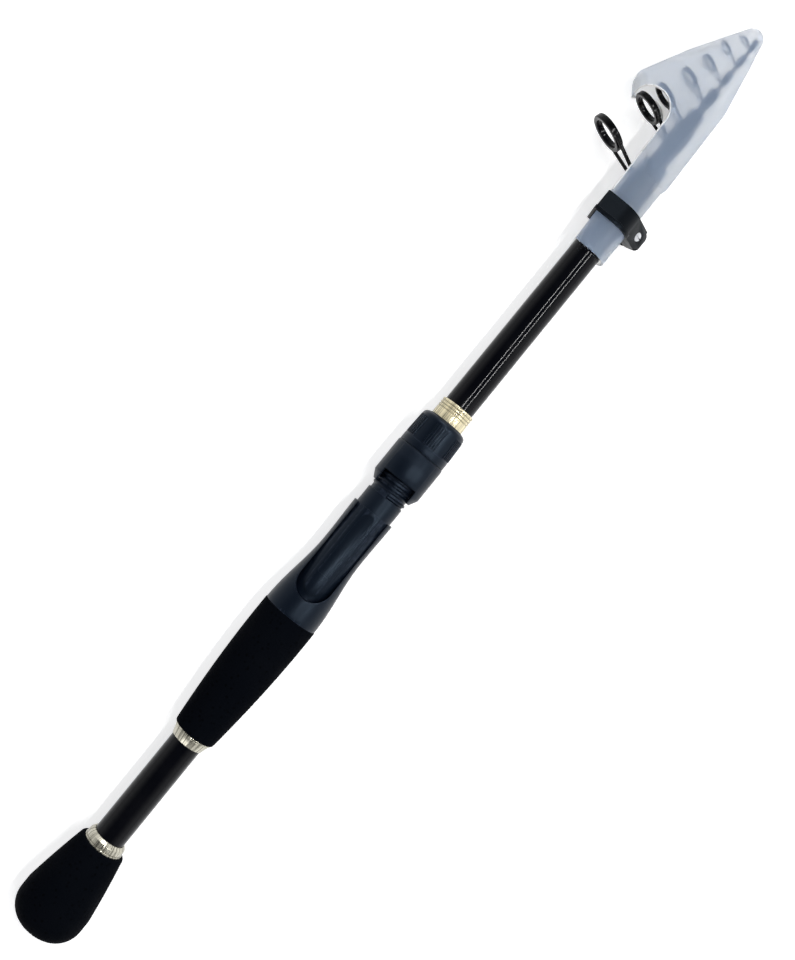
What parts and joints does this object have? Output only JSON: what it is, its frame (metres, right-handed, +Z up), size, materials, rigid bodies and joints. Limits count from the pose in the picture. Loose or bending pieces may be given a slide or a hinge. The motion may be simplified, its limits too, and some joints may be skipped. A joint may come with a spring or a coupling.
{
  "type": "telescopic fishing rod",
  "caption": "Collapsed telescopic fishing rod with foam grips, a screw-down reel seat, folded line guides and a slotted frosted tip cap held by a clamp.",
  "frame": {"origin": "centre of the flat on the butt end, on the rod axis", "axes": "+X along the rod from butt to tip, +Z up out of the bed for the reel foot, +Y towards the side where the line guides stand"},
  "size_m": [0.455, 0.0468, 0.0298],
  "materials": {
    "eva_foam": "matte closed-cell foam",
    "gloss_blank": "clear-coated, with a fine spiral ripple",
    "seat_plastic": "satin",
    "champagne_metal": "anodised, polished",
    "black_frame": "gloss black",
    "ring_ceramic": "polished",
    "frosted_cap": "frosted translucent",
    "dark_plastic": "satin",
    "pad_rubber": "matte",
    "bright_steel": "plated"
  },
  "bodies": {
    "handle": {"base_blank": "gloss_blank", "butt_knob": "eva_foam", "butt_plug": "dark_plastic", "butt_pad": "pad_rubber", "butt_ring": "champagne_metal", "grip_ring": "champagne_metal", "fore_grip": "eva_foam", "reel_seat": "seat_plastic", "front_ring": "champagne_metal"},
    "hood": {"sliding_hood": "seat_plastic"},
    "nut": {"hood_nut": "seat_plastic"},
    "second_section": {"section_2": "gloss_blank", "guide_1_frame": "black_frame", "guide_1_liner": "ring_ceramic"},
    "third_section": {"section_3": "gloss_blank", "guide_2_frame": "black_frame", "guide_2_liner": "ring_ceramic"},
    "fourth_section": {"section_4": "gloss_blank", "guide_3_frame": "black_frame", "guide_3_liner": "ring_ceramic"},
    "fifth_section": {"section_5": "gloss_blank", "guide_4_frame": "black_frame", "guide_4_liner": "ring_ceramic"},
    "tip": {"tip_section": "gloss_blank", "tip_top_frame": "black_frame", "tip_top_liner": "ring_ceramic"},
    "rear_float": {"guide_5_frame": "black_frame", "guide_5_liner": "ring_ceramic"},
    "front_float": {"guide_6_frame": "black_frame", "guide_6_liner": "ring_ceramic"},
    "cap": {"tip_cap": "frosted_cap"},
    "clamp": {"clamp_band": "dark_plastic", "clamp_nut": "bright_steel"},
    "screw": {"clamp_screw": "bright_steel"}
  },
  "joints": [
    {"name": "second_section_slide", "type": "slide", "parent": "handle", "child": "second_section", "axis": [1, 0, 0], "range_m": [0, 0.3061]},
    {"name": "third_section_slide", "type": "slide", "parent": "second_section", "child": "third_section", "axis": [1, 0, 0], "range_m": [0, 0.3158]},
    {"name": "fourth_section_slide", "type": "slide", "parent": "third_section", "child": "fourth_section", "axis": [1, 0, 0], "range_m": [0, 0.3342]},
    {"name": "fifth_section_slide", "type": "slide", "parent": "fourth_section", "child": "fifth_section", "axis": [1, 0, 0], "range_m": [0, 0.3418]},
    {"name": "tip_slide", "type": "slide", "parent": "fifth_section", "child": "tip", "axis": [1, 0, 0], "range_m": [0, 0.3532]},
    {"name": "rear_float_slide", "type": "slide", "parent": "tip", "child": "rear_float", "axis": [1, 0, 0], "range_m": [-0.23321, 0.0001]},
    {"name": "front_float_slide", "type": "slide", "parent": "tip", "child": "front_float", "axis": [1, 0, 0], "range_m": [-0.11666, 0.0001]},
    {"name": "cap_pull", "type": "slide", "parent": "tip", "child": "cap", "axis": [1, 0, 0], "range_m": [0, 0.12]},
    {"name": "clamp_slide", "type": "slide", "parent": "handle", "child": "clamp", "axis": [1, 0, 0], "range_m": [-0.085, 0]},
    {"name": "clamp_screw_turn", "type": "hinge", "parent": "clamp", "child": "screw", "pos_m": [0.3622, -0.00743, -0.0066], "axis": [0, -0.6947, 0.7193], "continuous": true},
    {"name": "hood_slide", "type": "slide", "parent": "handle", "child": "hood", "axis": [1, 0, 0], "range_m": [-0.01, 0]},
    {"name": "nut_turn", "type": "hinge", "parent": "hood", "child": "nut", "pos_m": [0.24905, 0, 0], "axis": [1, 0, 0], "range_deg": [-1445, 5]}
  ],
  "couplings": [
    {"joint": "nut_turn", "follows": "hood_slide", "rad_per_m": 2513.3},
    {"joint": "rear_float_slide", "follows": "tip_slide", "ratio": -0.66},
    {"joint": "front_float_slide", "follows": "tip_slide", "ratio": -0.33}
  ]
}
